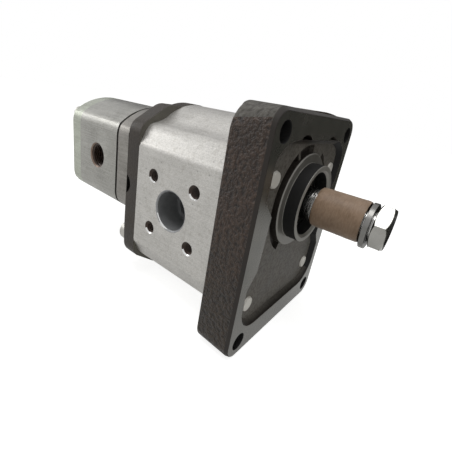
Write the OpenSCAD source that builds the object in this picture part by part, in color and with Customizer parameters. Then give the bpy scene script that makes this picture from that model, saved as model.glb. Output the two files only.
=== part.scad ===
// Tandem external gear pump with a cast mounting flange, a large main section and a small rear section.
// The origin is on the drive shaft's axis, in the machined face of the mounting flange.
// +X points out along the shaft, -Y is the inlet side and +Z is up. Lengths are in millimetres.

/* [Gears] */
// Tooth module of the main gear pair
main_module = 4; // [3.6:0.1:4.2]
// Teeth on each main gear
main_teeth = 11; // [10:1:11]
// Face width of the main gears
main_gear_w = 34.8; // [24:0.2:44]
// Tooth module of the rear gear pair
rear_module = 2; // [1.8:0.1:2.2]
// Teeth on each rear gear
rear_teeth = 11; // [10:1:12]
// Face width of the rear gears
rear_gear_w = 20; // [12:0.5:30]
// Pressure angle of both gear pairs
pressure_angle = 25; // [24:1:27]
// How much each tooth flank is thinned for backlash
backlash = 0.08; // [0.06:0.01:0.15]

/* [Drive shaft] */
// Diameter of the main journals and of the seal land
main_journal_d = 22; // [20:0.5:23]
// Diameter of the rear section's journals
rear_journal_d = 12; // [10:0.5:13]
// Length of taper per unit of diameter, so 8 means 1:8
taper_ratio = 8; // [6:0.5:10]
// Length of the tapered seat
taper_len = 25; // [20:1:28]
// Distance from the flange face to the taper's large end
taper_start = 9; // [8.5:0.5:14]
// Diameter of the shaft's end thread
thread_d = 16; // [14:1:17]
// Length of the end thread with its relief
thread_len = 16; // [15:0.5:20]
// Thickness of the shaft key
key_w = 4; // [3:0.5:5]
// Diameter of the disc that the half-moon key is cut from
key_disc_d = 16; // [13:1:19]

/* [Nut, washer and sleeve] */
// Size of the nut across its flats
nut_af = 24; // [22:1:27]
// Thickness of the nut
nut_t = 8; // [6:0.5:10]
// Outer diameter of the spring washer
washer_d = 27.4; // [24:0.2:30]
// Thickness of the spring washer
washer_t = 3; // [2.5:0.25:3.5]
// Wall of the protective sleeve over the taper
sleeve_wall = 1.1; // [0.8:0.1:2]
// Length of the protective sleeve
sleeve_len = 28.5; // [20:0.5:28.5]

/* [Mounting flange] */
// Distance from the mounting holes' centres to the flange's sides
flange_side = 10.5; // [8.5:0.5:12]
// Distance from the mounting holes' centres to the flange's top and bottom
flange_end = 9.95; // [8.95:0.5:11.95]
// Thickness of the flange plate
flange_t = 26; // [24:0.5:32]
// Thickness of the step behind the plate, which the main body seats on
flange_step_t = 6; // [4:0.5:10]
// Corner radius of the flange
flange_corner_r = 10; // [6:0.5:12]
// Horizontal distance between the mounting holes
mount_y = 98.4; // [96:0.2:99]
// Vertical distance between the mounting holes
mount_z = 128.1; // [126:0.1:129]
// Diameter of the mounting holes
mount_d = 11; // [9:0.5:11.5]
// How far the mounting holes' centre lies below the shaft
mount_drop = 20.6; // [19.5:0.1:22]
// Diameter of the locating pilot
pilot_d = 50.8; // [48:0.1:54]
// How far the pilot stands out of the flange face
pilot_h = 6.5; // [4:0.5:7]
// Outer diameter of the shaft seal and of its bore
seal_d = 42; // [38:0.5:43]
// Width of the shaft seal
seal_w = 7; // [6:0.5:9]
// How far the seal's retaining ring lies behind the pilot's mouth
seal_depth = 9; // [7:0.5:10]
// Depth of the cast recess in the flange face
recess_depth = 4; // [3:0.5:5]
// Width of the sloped wall of the recess
recess_slope = 3; // [2:0.5:5]
// Depth of the cast ring groove below the recess
moat_depth = 3; // [2:0.5:4]
// How much higher the flange's cast top is at the back than at the machined front
top_draft = 2; // [1:0.5:3]
// Height of the two low swells on that top
swell_h = 0.8; // [0.4:0.1:1.2]

/* [Main section] */
// Width of the main body over its port faces
main_w = 105; // [102:0.5:108]
// Height of the flat port faces
main_flat_h = 75; // [70:1:78]
// Wall outside the gears at the body's crown
main_crown_wall = 20; // [18:0.5:22]
// Length of the main bearing blocks
main_block_len = 19.5; // [16:0.5:26]
// Distance from the port faces in to the main tie bolts' centres
main_bolt_inset = 10.5; // [9.5:0.5:11.5]
// Vertical distance between the main tie bolts
main_bolt_z = 80; // [78:0.5:82]
// Diameter of the main tie bolts
main_bolt_d = 10; // [8:0.5:10]
// Diameter of the tie bolts' heads
main_head_d = 16; // [14:0.5:16.5]
// Height of the lower tie bolts' heads
main_head_h = 10; // [8:0.5:11]
// Height of the upper tie bolts' heads, which lie sunk in the intermediate plate
main_low_head_h = 7; // [5:0.5:7.5]
// Thickness of the intermediate plate
plate_t = 13; // [12:0.5:18]

/* [Ports] */
// Diameter of the main inlet
inlet_d = 27; // [22:0.5:28]
// Depth of both main ports' mouths, behind which a narrower way leads on to the gears
port_depth = 20; // [14:0.5:22]
// Side of the square on which the inlet's threaded holes lie
inlet_square = 38.9; // [37:0.1:41]
// Diameter of the main outlet
outlet_d = 20; // [15:0.5:21]
// Side of the square on which the outlet's threaded holes lie
outlet_square = 28.3; // [27.5:0.1:31]
// Diameter of the ports' threaded holes
port_screw_d = 8; // [6:0.5:8]
// Depth of the ports' threaded holes
port_screw_depth = 16; // [12:0.5:18]
// Thread diameter of the rear inlet
rear_inlet_d = 20.5; // [16:0.5:21]
// Thread diameter of the rear outlet
rear_outlet_d = 16.5; // [12:0.5:18]
// Depth of the rear ports' threads
rear_port_depth = 14; // [12:0.5:16]

/* [Rear section] */
// Width of the rear section
rear_w = 80; // [78:0.5:84]
// Wall outside the gears at the rear section's crown
rear_crown_wall = 24.5; // [22:0.5:27]
// Radius of the rear section's crowned top and bottom
rear_dome_r = 54; // [50:1:60]
// Corner radius of the rear section
rear_corner_r = 7; // [5:0.5:9]
// Length of the coupling housing between the plate and the rear body
housing_len = 34.5; // [32:0.5:42]
// Length of the rear bearing blocks
rear_block_len = 19.65; // [14:0.05:24]
// Thickness of the rear end cover
end_cover_t = 14; // [12:0.5:18]
// Horizontal distance between the rear bolts
rear_bolt_y = 56; // [54:0.5:57]
// Vertical distance between the rear bolts
rear_bolt_z = 60; // [58:0.5:62]
// Diameter of the rear bolts
rear_bolt_d = 8; // [6:0.5:8]
// Width of the dark seam between the coupling housing and the rear body
seam_w = 2.2; // [1:0.2:4]
// Depth of that seam
seam_depth = 1.4; // [0.8:0.2:2]

/* [Clearances] */
// Radial clearance of every turning fit
run_gap = 0.05; // [0.03:0.01:0.08]
// Radial clearance of fixed pieces in their seats
fit_gap = 0.02; // [0.01:0.01:0.05]
// Radial clearance of bolts in their holes
bolt_gap = 0.3; // [0.2:0.05:0.5]

/* [Hidden] */
$fn = 72;
eps = 0.01;
cut = 1;

// Gear pairs: centre distance, tip and root radii
main_c = main_module * main_teeth;
rear_c = rear_module * rear_teeth;
main_tip_r = main_c / 2 + main_module;
rear_tip_r = rear_c / 2 + rear_module;
root_depth = 1.25;
root_lap = 0.5;
tip_lap = 0.05;
main_mid_z = -main_c / 2;
rear_mid_z = -rear_c / 2;
side_gap = 0.1;
// How far a corner's arc stands proud of the lines it runs into, so that they cross cleanly
arc_lap = 0.02;

// Outer sizes that follow from the distances between the bolts
flange_w = mount_y + 2 * flange_side;
flange_h = mount_z + 2 * flange_end;
main_bolt_y = main_w - 2 * main_bolt_inset;

// Stations along the shaft, from the flange face backwards
flange_back = -flange_t - flange_step_t;
main_len = main_gear_w + 2 * main_block_len + 2 * side_gap;
main_back = flange_back - main_len;
main_gear_front = flange_back - main_block_len - side_gap;
main_gear_back = main_gear_front - main_gear_w;
plate_back = main_back - plate_t;
housing_back = plate_back - housing_len;
rear_len = rear_gear_w + 2 * rear_block_len + 2 * side_gap;
rear_back = housing_back - rear_len;
rear_gear_front = housing_back - rear_block_len - side_gap;
rear_gear_back = rear_gear_front - rear_gear_w;
cover_back = rear_back - end_cover_t;
main_port_x = (flange_back + main_back) / 2;
rear_port_x = (housing_back + rear_back) / 2;

// Shaft end, seen from the flange outwards
journal_r = main_journal_d / 2;
thread_start = taper_start + taper_len;
shaft_end = thread_start + thread_len;
taper_small_r = journal_r - taper_len / taper_ratio / 2;
thread_chamfer = 1;
sleeve_start = taper_start + 0.5;
sleeve_end = sleeve_start + sleeve_len;
key_x = taper_start + taper_len / 2;
key_seat_r = journal_r - (key_x - taper_start) / taper_ratio / 2;
key_rise = 1.1;
key_h = key_disc_d * 0.4;
key_top_r = norm([key_seat_r + key_rise, key_w / 2]);
sleeve_in_r = max(journal_r, key_top_r) + 0.2;
washer_hole_r = thread_d / 2 + 1;
washer_x = max(sleeve_end, thread_start) + 1.2;
nut_x = washer_x + washer_t + 1.3;
washer_slit = 2;
slit_turn = -100;
nut_turn = -46;

// Seal bore
pilot_r = pilot_d / 2;
seal_bore_r = seal_d / 2;
ring_t = 1.75;
ring_bite = 1.3;
ring_x = pilot_h - seal_depth - ring_t;
seal_x = ring_x - seal_w;
lip_gap = 0.05;
back_bore_r = journal_r + 3;

// Tie bolts of both sections
main_bolt_r = main_bolt_d / 2;
bolt_tip_chamfer = 0.4;
main_bolt_tip = -recess_depth + 0.5;
rear_bolt_r = rear_bolt_d / 2;
rear_head_r = rear_bolt_r * 1.6;
rear_head_h = rear_bolt_d;
rear_washer_t = 1.6;
rear_thread_depth = plate_t - 1;
low_head_seat = main_low_head_h + 0.5;
main_bolt_up = [for (sy = [-1, 1]) [sy * main_bolt_y / 2, main_mid_z + main_bolt_z / 2]];
main_bolt_down = [for (sy = [-1, 1]) [sy * main_bolt_y / 2, main_mid_z - main_bolt_z / 2]];
main_bolt_places = concat(main_bolt_up, main_bolt_down);
rear_bolt_places = [for (sy = [-1, 1], sz = [-1, 1]) [sy * rear_bolt_y / 2, rear_mid_z + sz * rear_bolt_z / 2]];
mount_places = [for (sy = [-1, 1], sz = [-1, 1]) [sy * mount_y / 2, -mount_drop + sz * mount_z / 2]];

// Bushes, blocks and small seals
bush_wall = 1.5;
bush_margin = 0.6;
main_bush_r = journal_r + run_gap + bush_wall;
rear_journal_r = rear_journal_d / 2;
rear_bush_r = rear_journal_r + run_gap + bush_wall;
main_bore_r = main_tip_r + 2 * run_gap;
rear_bore_r = rear_tip_r + 2 * run_gap;
main_ring_seat = main_bush_r + 4;
rear_ring_seat = rear_bush_r + 1.6;
balance_w = 2;
balance_t = 2;
backup_t = 1;
body_seal_w = 2.4;
body_seal_t = 1.8;
main_body_seal_r = main_bore_r + 3;
rear_body_seal_r = rear_bore_r + 2.6;
dowel_r = 4;
dowel_len = 12;
main_dowel_y = (main_bore_r + main_w / 2) / 2 + 2;
rear_dowel_r = 3;
rear_dowel_len = 10;
rear_dowel_y = (rear_bore_r + rear_w / 2) / 2 + 2;
relief_w = 2.4;
relief_d = 1.6;

// Ports
port_lead = 0.8;
rear_port_lead = 1;
way_step = 5;
rear_way_d = 10;
drill_tip_r = 0.2;

// Coupling between the sections
main_spline_r = journal_r - 3;
rear_spline_r = rear_journal_r - 1;
spline_teeth = 8;
spline_rise = 0.8;
spline_gap = 0.1;
coupling_r = 12.5;
coupling_front = plate_back - 2;
coupling_len = housing_len - 6.5;
coupling_back = coupling_front - coupling_len;
coupling_mid = (coupling_front + coupling_back) / 2;
coupling_room = 1.5;
spline_end_gap = 1.2;
stage_seal_r = journal_r + 5;
stage_seal_w = 6;
housing_seal_r = coupling_r + coupling_room + 4;

// Corner of the main body: a step on the port face, then points round the tie bolt to the crown, from its centre
corner_step = [1.4, 2.6];
corner_points = [[5.8, 7], [3.4, 10.6], [0.4, 12.4], [-4, 13.4], [-8, 15]];

// Corners and shoulders of the intermediate plate, placed from the port faces and the tie bolts
plate_extra = 0.4;
plate_corner_r = 12;
plate_corner_up = 3.5;
plate_shoulder_r = 14.2;
plate_shoulder_in = 17.5;
plate_shoulder_up = 11.5;
side_pocket_r = 8.2;
side_pocket_x = 3.5;
side_pocket_up = 5;
side_pocket_depth = 10;
side_pocket_wall = 0.6;

// Outline of the flange's cast recess, right half, from the top centre down
recess_top = 39.7;
recess_bulge = 52.3;
recess_waist = 43;
recess_lower_waist = 45;
recess_bottom = -79;
recess_corner = [19, 19];
recess_shoulder = [22, 14];
recess_rise = 10;
waist_top = -2;
waist_bottom = -36;
moat_in = pilot_r + 6;
moat_out = pilot_r + 11;
moat_spans = [[-150, -31.5], [-27.5, 3], [33, 150]];
base_ring_drop = 2;
notch_y = 21.5;
notch_r = 11.4;
notch_drop = 8.6;
notch_depth = 12;
edge_x = 2.4;
edge_out = 0.5;
edge_up = 1.7;
back_corner = 6.5;
swell_places = [[12, 20, 20], [45.5, 7, 6]];

// Draws a flat shape in the Y-Z plane and gives it length along X from x0 towards x1
module along(x0, x1) {
    translate([min(x0, x1), 0, 0]) rotate([90, 0, 90]) linear_extrude(abs(x1 - x0)) children();
}

// A round bar along X
module bar(x0, x1, r, y = 0, z = 0) {
    translate([min(x0, x1), y, z]) rotate([0, 90, 0]) cylinder(h = abs(x1 - x0), r = r);
}

// A cone along X, r0 at x0 and r1 at x1
module taper(x0, x1, r0, r1, y = 0, z = 0) {
    translate([x0, y, z]) rotate([0, 90, 0]) cylinder(h = x1 - x0, r1 = r0, r2 = r1);
}

// A ring along X
module ring(x0, x1, r_out, r_in, y = 0, z = 0) {
    difference() {
        bar(x0, x1, r_out, y, z);
        bar(min(x0, x1) - cut, max(x0, x1) + cut, r_in, y, z);
    }
}

// Copies its children to each place of a list of [y, z]
module at_places(places) {
    for (p = places) translate([0, p[0], p[1]]) children();
}

// Two overlapping discs on the axes of a gear pair
module pair(r, c) {
    circle(r = r);
    translate([0, -c]) circle(r = r);
}

// A stadium round both axes of a gear pair
module stadium(r, c) {
    pair(r, c);
    translate([-r, -c]) square([2 * r, c]);
}

function deg(rad) = rad * 180 / PI;
function inv(a) = deg(tan(a)) - a;

// Half the angle that a tooth takes up at radius r
function flank_angle(r, rb, teeth, rp) =
    90 / teeth - deg(backlash / rp) + inv(pressure_angle) - (r > rb ? inv(acos(rb / r)) : 0);

// One tooth pointing along +Y of the sketch, from inside the root out past the tip
module tooth(module_size, teeth) {
    rp = module_size * teeth / 2;
    rb = rp * cos(pressure_angle);
    rf = rp - root_depth * module_size;
    ra = rp + module_size;
    steps = 7;
    radii = concat([rf - root_lap], [for (i = [0:steps]) rb + (ra + tip_lap - rb) * i / steps]);
    left = [for (r = radii) let (a = flank_angle(r, rb, teeth, rp)) [-r * sin(a), r * cos(a)]];
    right = [for (i = [len(left) - 1:-1:0]) [-left[i][0], left[i][1]]];
    polygon(concat(left, right));
}

// Spur gear sketch; turn is the angle of its first tooth from +Y of the sketch
module gear_sketch(module_size, teeth, turn) {
    rp = module_size * teeth / 2;
    intersection() {
        circle(r = rp + module_size);
        union() {
            circle(r = rp - root_depth * module_size);
            for (i = [0:teeth - 1]) rotate(turn + 360 / teeth * i) tooth(module_size, teeth);
        }
    }
}

// Splined bar sketch
module spline_sketch(r, grow) {
    circle(r = r + grow);
    for (i = [0:spline_teeth - 1]) rotate(360 / spline_teeth * i)
        translate([-r / 5 - grow, 0]) square([2 * (r / 5 + grow), r + spline_rise + grow]);
}

// Outline of the extruded main body: gear crowns, flat port faces and the corners that carry the tie bolts
module main_outline() {
    bolt = [main_bolt_y / 2, main_bolt_z / 2];
    start = [main_w / 2, main_flat_h / 2];
    right = concat([start, start + [-corner_step[0], corner_step[1]]], [for (p = corner_points) bolt + p]);
    n = len(right) - 1;
    pair(main_tip_r + main_crown_wall, main_c);
    translate([0, main_mid_z])
        polygon([for (q = [[1, 1], [-1, 1], [-1, -1], [1, -1]], i = [0:n])
            let (p = right[q[0] * q[1] > 0 ? i : n - i]) [q[0] * p[0], q[1] * p[1]]]);
}

// Fills the notch between two discs up to a line that touches both
module web(c1, r1, c2, r2) {
    d = c2 - c1;
    a = atan2(d[1], d[0]) - acos((r1 - r2) / norm(d));
    n = [cos(a), sin(a)];
    polygon([c1, c1 + n * (r1 - arc_lap), c2 + n * (r2 - arc_lap), c2]);
}

// Outline of the intermediate plate: the same crowns with fuller corners and shoulders
module plate_outline() {
    corner = [main_w / 2 - plate_corner_r, main_bolt_z / 2 + plate_corner_up];
    shoulder = [main_bolt_y / 2 - plate_shoulder_in, main_bolt_z / 2 + plate_shoulder_up];
    pair(main_tip_r + main_crown_wall + plate_extra, main_c);
    translate([0, main_mid_z]) {
        for (sy = [0, 1], sz = [0, 1]) mirror([sy, 0]) mirror([0, sz]) {
            translate(corner) circle(r = plate_corner_r);
            translate(shoulder) circle(r = plate_shoulder_r);
            web(corner, plate_corner_r, shoulder, plate_shoulder_r);
        }
        square([main_w, 2 * corner[1]], center = true);
        square([2 * corner[0], 2 * (corner[1] + plate_corner_r - arc_lap)], center = true);
        square([2 * shoulder[0], 2 * (shoulder[1] + plate_shoulder_r - arc_lap)], center = true);
    }
}

// Outline shared by the three rear pieces; shrink pulls it in for the seam
module rear_outline(shrink = 0) {
    // The corner arcs run smoothly into the crown's arc and into the flat sides
    crown_z = rear_tip_r + rear_crown_wall + rear_c / 2 - rear_dome_r;
    corner_y = rear_w / 2 - rear_corner_r;
    corner_z = crown_z + sqrt(pow(rear_dome_r - rear_corner_r, 2) - pow(corner_y, 2));
    meet_y = corner_y * (rear_dome_r - shrink) / (rear_dome_r - rear_corner_r);
    translate([0, rear_mid_z]) {
        for (up = [0, 1]) mirror([0, up]) {
            for (sy = [-1, 1]) translate([sy * corner_y, corner_z]) circle(r = rear_corner_r - shrink + arc_lap);
            intersection() {
                translate([0, crown_z]) circle(r = rear_dome_r - shrink, $fn = 180);
                translate([-meet_y, 0]) square([2 * meet_y, rear_dome_r]);
            }
        }
        square([rear_w - 2 * shrink, 2 * corner_z], center = true);
    }
}

// One convex stretch of the cast recess with sloped walls, from z0 to z1; high and low are half its widths there
module recess_stretch(z0, z1, high, low) {
    hull() for (step = [[cut, -0.6], [-recess_depth, recess_slope]])
        along(step[0], step[0] + eps)
            polygon([[step[1] - high, z0], [high - step[1], z0], [low - step[1], z1], [step[1] - low, z1]]);
}

// Lobe of the cast recess round two bolts: from is its z at the waist, half the waist's half width there,
// end its closed end and corner the two radii of its rounded corners
module recess_lobe(from, half, end, corner) {
    up = end > from ? 1 : -1;
    function side(inset) = concat([[half - inset, from], [recess_bulge - inset, from + up * recess_rise]],
        [for (a = [0:15:90]) [recess_bulge - corner[0] + (corner[0] - inset) * cos(a),
            end - up * corner[1] + up * (corner[1] - inset) * sin(a)]]);
    hull() for (step = [[cut, -0.6], [-recess_depth, recess_slope]])
        along(step[0], step[0] + eps) for (s = [-1, 1])
            polygon(concat([for (p = side(step[1])) [s * p[0], p[1]]], [[0, end - up * step[1]], [0, from]]));
}

// One stretch of the ring groove round the pilot, from one angle to another, counted from the top
module moat_span(from, to) {
    reach = 2 * moat_out;
    along(-recess_depth - moat_depth, cut) intersection() {
        difference() {
            circle(r = moat_out);
            circle(r = moat_in);
        }
        polygon(concat([[0, 0]], [for (i = [0:3]) let (a = from + (to - from) * i / 3) reach * [sin(a), cos(a)]]));
    }
}

// A low swell on the flange's top edge: the top of a wide disc, half is half its width
module swell(y, half, length) {
    top = flange_h / 2 - mount_drop + top_draft;
    r = (half * half + swell_h * swell_h) / 2 / swell_h;
    intersection() {
        bar(-flange_t, length - flange_t, r, y, top + swell_h - r);
        translate([-flange_t, y - half, top - top_draft]) cube([length, 2 * half, top_draft + 2 * swell_h]);
    }
}

// One outline of the plate: out widens it, up raises its top edge and bend adds to its upper corners' radius
module plate_slice(x, out, up, bend) {
    r = flange_corner_r;
    high_r = r + bend;
    along(x, x + eps) hull() for (sy = [-1, 1]) {
        translate([sy * (flange_w / 2 + out - high_r), flange_h / 2 - mount_drop + up - high_r]) circle(r = high_r);
        translate([sy * (flange_w / 2 + out - r), -flange_h / 2 - mount_drop - out + r]) circle(r = r);
    }
}

// The plate: its machined face is a little smaller than the casting behind it
module flange_plate() {
    hull() {
        plate_slice(-eps, 0, 0, 0);
        plate_slice(-edge_x, edge_out, edge_up, 0);
        plate_slice(-flange_t, 0, top_draft, back_corner);
    }
    for (place = swell_places) swell(place[0], place[1], place[2]);
}

module front_flange() {
    color("dimgray") difference() {
        union() {
            difference() {
                union() {
                    flange_plate();
                    along(flange_back, -flange_t + eps) main_outline();
                }
                // Cast recess: two sloped lobes round the bolts and a straight waist between them
                recess_lobe(waist_bottom, recess_lower_waist, recess_bottom, recess_corner);
                recess_stretch(waist_top + cut, waist_bottom - cut, recess_waist, recess_lower_waist);
                recess_lobe(waist_top, recess_waist, recess_top, recess_shoulder);
                // Half-round notches in the recess's top edge
                for (s = [-1, 1]) intersection() {
                    bar(-notch_depth, cut, notch_r, s * notch_y, recess_top - notch_drop);
                    translate([-notch_depth, s * notch_y - notch_r, recess_top - eps])
                        cube([notch_depth + cut, 2 * notch_r, notch_r]);
                }
                // Ring groove round the pilot, with cast webs left in it
                for (span = moat_spans) moat_span(span[0], span[1]);
            }
            bar(-flange_t, pilot_h, pilot_r);
            bar(-flange_t, -base_ring_drop, moat_in);
        }
        // Seal bore with its lead-in, ring groove and the bore behind it
        bar(seal_x, pilot_h + cut, seal_bore_r);
        taper(pilot_h - 1.5, pilot_h + eps, seal_bore_r, seal_bore_r + 1.5);
        bar(ring_x, ring_x + ring_t, seal_bore_r + ring_bite);
        bar(flange_back - cut, seal_x + cut, back_bore_r);
        at_places(mount_places) bar(-flange_t - cut, cut, mount_d / 2);
        at_places(main_bolt_places) bar(flange_back - cut, cut, main_bolt_r + fit_gap);
        body_seal_groove(flange_back - cut, flange_back + body_seal_t, main_body_seal_r, main_c);
        dowel_holes(flange_back, main_dowel_y, main_mid_z, dowel_r, dowel_len);
    }
}

// Racetrack ring round a gear chamber, and the groove for it
module body_seal(x0, x1, r, c) {
    along(x0, x1) difference() {
        stadium(r + body_seal_w, c);
        stadium(r, c);
    }
}
module body_seal_groove(x0, x1, r, c) {
    along(x0, x1) difference() {
        stadium(r + body_seal_w + fit_gap, c);
        stadium(r - fit_gap, c);
    }
}

// Holes for the two dowels that cross a joint face
module dowel_holes(x, y, z, r, length) {
    for (s = [-1, 1]) bar(x - length / 2 - fit_gap, x + length / 2 + fit_gap, r + fit_gap, s * y, z);
}
module dowels(x, y, z, r, length) {
    for (s = [-1, 1]) ring(x - length / 2, x + length / 2, r, r / 2, s * y, z);
}

module shaft_seal() {
    wall = 1.6;
    face_t = 2;
    lip_w = 2.2;
    lip_x = seal_x + seal_w / 2 - lip_w / 2;
    color("black") {
        ring(seal_x, seal_x + seal_w, seal_bore_r - fit_gap, seal_bore_r - wall);
        ring(seal_x + seal_w - face_t, seal_x + seal_w, seal_bore_r - wall + eps, journal_r + 1.2);
        ring(lip_x, seal_x + seal_w - face_t + eps, journal_r + 2.8, journal_r + 1.2);
        ring(lip_x, lip_x + lip_w, journal_r + 1.2 + eps, journal_r + lip_gap);
    }
}

module seal_retaining_ring() {
    width = 3.2;
    out_r = seal_bore_r + ring_bite - fit_gap;
    ear_r = 2.4;
    ear_z = out_r - width - 0.8;
    ear_y = 3.2;
    color("gray") difference() {
        union() {
            ring(ring_x + fit_gap, ring_x + ring_t - fit_gap, out_r, out_r - width);
            for (s = [-1, 1]) bar(ring_x + fit_gap, ring_x + ring_t - fit_gap, ear_r, s * ear_y, ear_z);
        }
        translate([ring_x - cut, -1, ear_z - ear_r - cut]) cube([ring_t + 2 * cut, 2, out_r]);
        for (s = [-1, 1]) bar(ring_x - cut, ring_x + ring_t + cut, 0.9, s * ear_y, ear_z);
    }
}

// A port going in from the face at y = side * half: a mouth with a lead-in and a narrower way on to the gears
module port(x, z, d, depth, way_d, half, side, lead) {
    translate([x, side * (half + cut), z]) rotate([side * 90, 0, 0]) {
        cylinder(h = depth + cut, r = d / 2);
        cylinder(h = half + cut, r = way_d / 2);
    }
    translate([x, side * (half + eps), z]) rotate([side * 90, 0, 0])
        cylinder(h = lead, r1 = d / 2 + lead, r2 = d / 2);
}

// Four blind threaded holes on a square round a port
module port_screws(x, z, square_side, half, side) {
    for (sx = [-1, 1], sz = [-1, 1])
        translate([x + sx * square_side / 2, side * half, z + sz * square_side / 2]) rotate([side * 90, 0, 0]) {
            translate([0, 0, -cut]) cylinder(h = port_screw_depth + cut, r = port_screw_d / 2);
            translate([0, 0, port_screw_depth - eps])
                cylinder(h = port_screw_d / 4, r1 = port_screw_d / 2, r2 = drill_tip_r);
        }
}

module main_body() {
    half = main_w / 2;
    color("lightgray") difference() {
        along(main_back, flange_back) main_outline();
        along(main_back - cut, flange_back + cut) pair(main_bore_r, main_c);
        port(main_port_x, main_mid_z, inlet_d, port_depth, inlet_d - way_step, half, -1, port_lead);
        port(main_port_x, main_mid_z, outlet_d, port_depth, outlet_d - way_step, half, 1, port_lead);
        port_screws(main_port_x, main_mid_z, inlet_square, half, -1);
        port_screws(main_port_x, main_mid_z, outlet_square, half, 1);
        at_places(main_bolt_places) bar(main_back - cut, flange_back + cut, main_bolt_r + bolt_gap);
        dowel_holes(flange_back, main_dowel_y, main_mid_z, dowel_r, dowel_len);
        dowel_holes(main_back, main_dowel_y, main_mid_z, dowel_r, dowel_len);
    }
}

module key_disc(grow = 0) {
    translate([key_x, 0, key_seat_r + key_rise - key_h + key_disc_d / 2]) rotate([90, 0, 0])
        cylinder(h = key_w + 2 * grow, r = key_disc_d / 2 + grow, center = true);
}

module main_drive_shaft() {
    color("silver") difference() {
        union() {
            along(main_gear_back, main_gear_front) gear_sketch(main_module, main_teeth, 180);
            bar(plate_back + 1, taper_start, journal_r);
            taper(taper_start, thread_start, journal_r, taper_small_r);
            bar(thread_start - eps, shaft_end - thread_chamfer, thread_d / 2);
            taper(shaft_end - thread_chamfer, shaft_end, thread_d / 2, thread_d / 2 - thread_chamfer);
            along(coupling_mid + spline_end_gap, plate_back + 1 + eps) spline_sketch(main_spline_r, 0);
        }
        key_disc(fit_gap);
    }
}

module main_driven_gear() {
    color("silver") translate([0, 0, -main_c]) {
        along(main_gear_back, main_gear_front) gear_sketch(main_module, main_teeth, 180 / main_teeth);
        bar(main_gear_back - main_block_len + side_gap, main_gear_front + main_block_len - side_gap, journal_r);
    }
}

// A bearing block: x_in is its face on the gears, x_out its face on the cover, dir points from gears to cover
module bearing_block(x_in, x_out, dir, tip_r, c, bush_r, seat) {
    shank = tip_r + run_gap;
    difference() {
        along(x_in, x_out) difference() {
            pair(shank, c);
            pair(bush_r + fit_gap, c);
        }
        along(x_out - dir * (balance_t + backup_t), x_out + dir * cut) difference() {
            pair(seat + balance_w + fit_gap, c);
            pair(seat - fit_gap, c);
        }
        // Relief slots at the mesh
        for (s = [-1, 1]) translate([x_in, s * tip_r / 4, -c / 2])
            cube([2 * relief_d, relief_w, tip_r / 3], center = true);
    }
}

module main_front_block() {
    color("tan") bearing_block(main_gear_front + side_gap / 2, flange_back - side_gap / 2, 1, main_tip_r, main_c,
        main_bush_r, main_ring_seat);
}

module main_rear_block() {
    color("tan") bearing_block(main_gear_back - side_gap / 2, main_back + side_gap / 2, -1, main_tip_r, main_c,
        main_bush_r, main_ring_seat);
}

// The four bushes of a section: two in each block
module bushes(front_in, front_out, back_in, back_out, c, r_out, r_in) {
    for (z = [0, -c]) {
        ring(front_in + bush_margin, front_out - bush_margin, r_out, r_in, 0, z);
        ring(back_out + bush_margin, back_in - bush_margin, r_out, r_in, 0, z);
    }
}

module main_bushes() {
    color("peru") bushes(main_gear_front, flange_back, main_gear_back, main_back, main_c, main_bush_r,
        journal_r + run_gap);
}

// Lobed ring on the back of both blocks
module block_ring(x0, x1, seat, c) {
    along(x0, x1) difference() {
        pair(seat + balance_w, c);
        pair(seat, c);
    }
}

module main_block_seals() {
    color("black") {
        block_ring(flange_back - balance_t, flange_back - side_gap, main_ring_seat, main_c);
        block_ring(main_back + side_gap, main_back + balance_t, main_ring_seat, main_c);
    }
}

module main_backup_rings() {
    color("ivory") {
        block_ring(flange_back - balance_t - backup_t, flange_back - balance_t, main_ring_seat, main_c);
        block_ring(main_back + balance_t, main_back + balance_t + backup_t, main_ring_seat, main_c);
    }
}

module main_body_seals() {
    color("black") {
        body_seal(flange_back, flange_back + body_seal_t - fit_gap, main_body_seal_r, main_c);
        body_seal(main_back - body_seal_t + fit_gap, main_back, main_body_seal_r, main_c);
    }
}

module main_dowels() {
    color("gray") for (x = [flange_back, main_back]) dowels(x, main_dowel_y, main_mid_z, dowel_r, dowel_len);
}

// A socket head bolt along X with its head behind x_seat
module socket_bolt(x_seat, x_tip, r, head_r, head_h) {
    socket_af = r * 1.6;
    difference() {
        union() {
            bar(x_seat - head_h, x_seat, head_r);
            bar(x_seat - eps, x_tip - bolt_tip_chamfer, r);
            taper(x_tip - bolt_tip_chamfer - eps, x_tip, r, r - bolt_tip_chamfer);
        }
        translate([x_seat - head_h - cut, 0, 0]) rotate([0, 90, 0])
            cylinder(h = head_h / 2 + cut, d = socket_af / cos(30), $fn = 6);
    }
}

module main_bolts() {
    color("silver") {
        at_places(main_bolt_down)
            socket_bolt(plate_back, main_bolt_tip, main_bolt_r, main_head_d / 2, main_head_h);
        at_places(main_bolt_up)
            socket_bolt(plate_back + low_head_seat, main_bolt_tip, main_bolt_r, main_head_d / 2, main_low_head_h);
    }
}

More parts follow.
